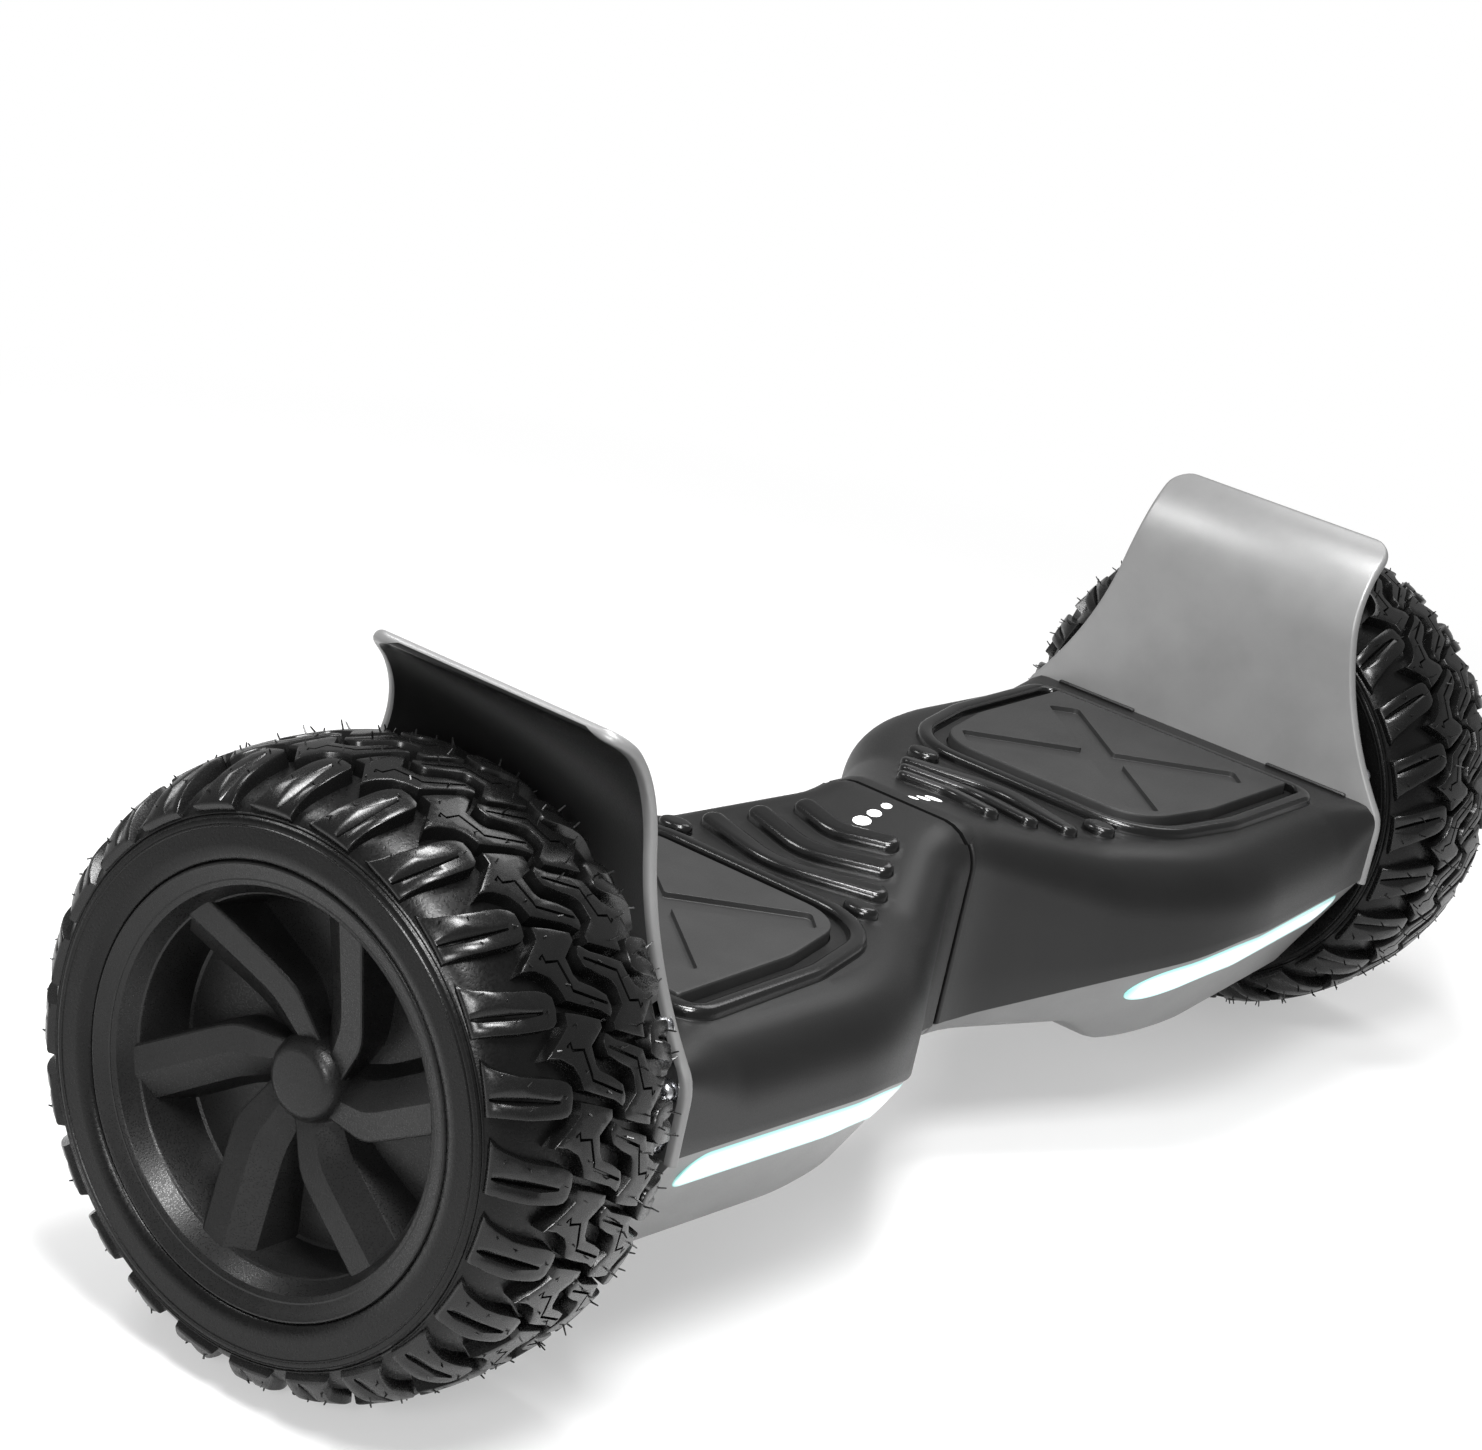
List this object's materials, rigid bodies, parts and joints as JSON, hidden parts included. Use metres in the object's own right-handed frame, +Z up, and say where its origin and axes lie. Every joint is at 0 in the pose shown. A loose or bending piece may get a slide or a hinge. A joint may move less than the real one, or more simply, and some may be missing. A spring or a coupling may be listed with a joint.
{
  "type": "self-balancing hoverboard",
  "caption": "Off-road self-balancing board: half decks twisting on a centre pivot, hub-motor wheels with lugged tyres under flared fenders, pressing foot pads and glowing headlights.",
  "frame": {"origin": "on the floor under the centre pivot, bottom centre of the whole board", "axes": "+X along the axles from the left wheel to the right wheel, -Y to the front with the headlights, +Z up"},
  "size_m": [0.7004, 0.21, 0.2305],
  "materials": {
    "tyre_rubber": "satin",
    "cast_alloy": "cast",
    "wheel_plastic": "satin",
    "magnet": "plated",
    "steel": "machined",
    "lamination_steel": "lacquered",
    "satin_black_plastic": "satin",
    "silver_paint": "metallic silver paint",
    "pad_rubber": "grained",
    "headlight_lens": "lit",
    "tail_light_lens": "clear red",
    "indicator_lens": "lit",
    "circuit_board": "lacquered",
    "bush_bronze": "sintered",
    "cable_sheath": "smooth",
    "battery_wrap": "shrink wrap"
  },
  "bodies": {
    "half_left": {"chassis_left": "cast_alloy", "axle_left": "steel", "stator_left": "lamination_steel", "axle_clamp_left": "cast_alloy", "top_cover_left": "satin_black_plastic", "bottom_cover_left": "silver_paint", "fender_left": "silver_paint", "headlight_lens_left": "headlight_lens", "headlight_board_left": "circuit_board", "tail_light_left": "tail_light_lens", "indicator_light_left": "indicator_lens", "sensor_board_left": "circuit_board", "pivot_bush_left": "bush_bronze", "motor_cable_left": "cable_sheath", "pivot_shaft": "steel", "retaining_ring_left": "steel", "retaining_ring_right": "steel", "cross_cable": "cable_sheath", "main_board": "circuit_board"},
    "half_right": {"chassis_right": "cast_alloy", "axle_right": "steel", "stator_right": "lamination_steel", "axle_clamp_right": "cast_alloy", "top_cover_right": "satin_black_plastic", "bottom_cover_right": "silver_paint", "fender_right": "silver_paint", "headlight_lens_right": "headlight_lens", "headlight_board_right": "circuit_board", "tail_light_right": "tail_light_lens", "indicator_light_right": "indicator_lens", "sensor_board_right": "circuit_board", "pivot_bush_right": "bush_bronze", "motor_cable_right": "cable_sheath", "battery_pack": "battery_wrap", "power_switch": "satin_black_plastic", "charge_port": "satin_black_plastic"},
    "wheel_left": {"tyre_left": "tyre_rubber", "wheel_rim_left": "cast_alloy", "wheel_cover_left": "wheel_plastic", "motor_side_cover_left": "cast_alloy", "magnet_ring_left": "magnet", "wheel_bearing_outer_left": "steel", "wheel_bearing_inner_left": "steel"},
    "wheel_right": {"tyre_right": "tyre_rubber", "wheel_rim_right": "cast_alloy", "wheel_cover_right": "wheel_plastic", "motor_side_cover_right": "cast_alloy", "magnet_ring_right": "magnet", "wheel_bearing_outer_right": "steel", "wheel_bearing_inner_right": "steel"},
    "pad_left": {"foot_pad_left": "pad_rubber"},
    "pad_right": {"foot_pad_right": "pad_rubber"},
    "button": {"power_button": "pad_rubber"},
    "cap": {"charge_cap": "pad_rubber"}
  },
  "joints": [
    {"name": "centre_twist", "type": "hinge", "parent": "half_left", "child": "half_right", "pos_m": [0, 0, 0.105], "axis": [1, 0, 0], "range_deg": [-10, 10]},
    {"name": "wheel_spin_left", "type": "hinge", "parent": "half_left", "child": "wheel_left", "pos_m": [-0.305, 0, 0.105], "axis": [1, 0, 0], "continuous": true},
    {"name": "wheel_spin_right", "type": "hinge", "parent": "half_right", "child": "wheel_right", "pos_m": [0.305, 0, 0.105], "axis": [1, 0, 0], "continuous": true},
    {"name": "foot_pad_press_left", "type": "slide", "parent": "half_left", "child": "pad_left", "axis": [0, 0, -1], "range_m": [0, 0.0015], "stiffness_N_per_m": 20000},
    {"name": "foot_pad_press_right", "type": "slide", "parent": "half_right", "child": "pad_right", "axis": [0, 0, -1], "range_m": [0, 0.0015], "stiffness_N_per_m": 20000},
    {"name": "power_button_press", "type": "slide", "parent": "half_right", "child": "button", "axis": [0, 0, 1], "range_m": [0, 0.0012], "stiffness_N_per_m": 2000},
    {"name": "charge_cap_open", "type": "hinge", "parent": "half_right", "child": "cap", "pos_m": [0.0683, -0.02, 0.0527], "axis": [0, -1, 0], "range_deg": [0, 110]}
  ]
}
